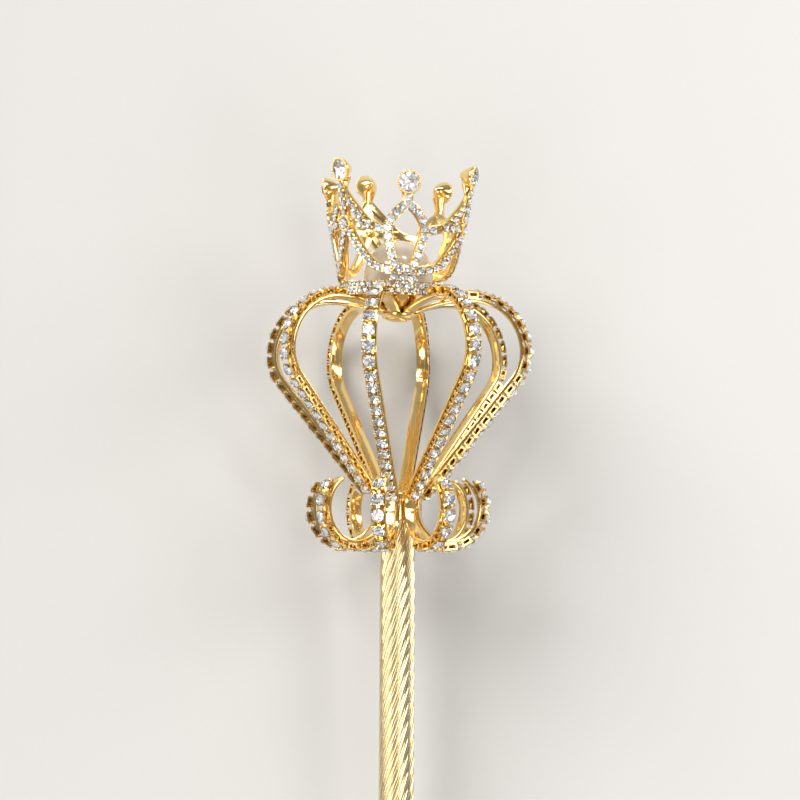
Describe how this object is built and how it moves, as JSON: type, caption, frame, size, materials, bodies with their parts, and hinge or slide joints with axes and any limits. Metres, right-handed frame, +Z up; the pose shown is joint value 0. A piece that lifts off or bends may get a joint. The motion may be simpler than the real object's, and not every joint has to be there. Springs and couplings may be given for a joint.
{
  "type": "sceptre",
  "caption": "Gilded costume sceptre lying on its side: openwork crown around a pearl, stone-set strips swelling into a lantern, scrolls and a spirally reeded shaft.",
  "frame": {"origin": "middle of the bounding box at the level of the surface that the sceptre lies on", "axes": "+Y runs from the pommel to the crown, along the lying sceptre; +Z up; the side that faces the viewer in the picture is up"},
  "size_m": [0.0886, 0.4608, 0.0885],
  "materials": {
    "gilt": "polished yellow gold plating",
    "pale_gilt": "polished pale gold plating",
    "cup_chain": "gold plated cups set with clear foiled stones",
    "crystal": "clear, brilliant cut and foiled behind",
    "pearl": "creamy pearl lustre"
  },
  "bodies": {
    "root": {"crown": "gilt", "crown_crystal_1": "crystal", "crown_crystal_2": "crystal", "crown_crystal_3": "crystal", "crown_crystal_4": "crystal", "crown_crystal_5": "crystal", "crown_crystal_6": "crystal", "crown_crystal_7": "crystal", "crown_crystal_8": "crystal", "crown_crystal_9": "crystal", "hub": "gilt", "pearl": "pearl", "pearl_cup": "gilt", "pommel": "gilt", "scroll_1": "gilt", "scroll_2": "gilt", "scroll_3": "gilt", "scroll_4": "gilt", "scroll_5": "gilt", "scroll_6": "gilt", "scroll_7": "gilt", "scroll_8": "gilt", "scroll_chain_1": "cup_chain", "scroll_chain_2": "cup_chain", "scroll_chain_3": "cup_chain", "scroll_chain_4": "cup_chain", "scroll_chain_5": "cup_chain", "scroll_chain_6": "cup_chain", "scroll_chain_7": "cup_chain", "scroll_chain_8": "cup_chain", "shaft": "pale_gilt", "socket": "gilt", "strip_1": "gilt", "strip_2": "gilt", "strip_3": "gilt", "strip_4": "gilt", "strip_5": "gilt", "strip_6": "gilt", "strip_7": "gilt", "strip_8": "gilt", "strip_chain_1": "cup_chain", "strip_chain_2": "cup_chain", "strip_chain_3": "cup_chain", "strip_chain_4": "cup_chain", "strip_chain_5": "cup_chain", "strip_chain_6": "cup_chain", "strip_chain_7": "cup_chain", "strip_chain_8": "cup_chain"}
  },
  "joints": []
}
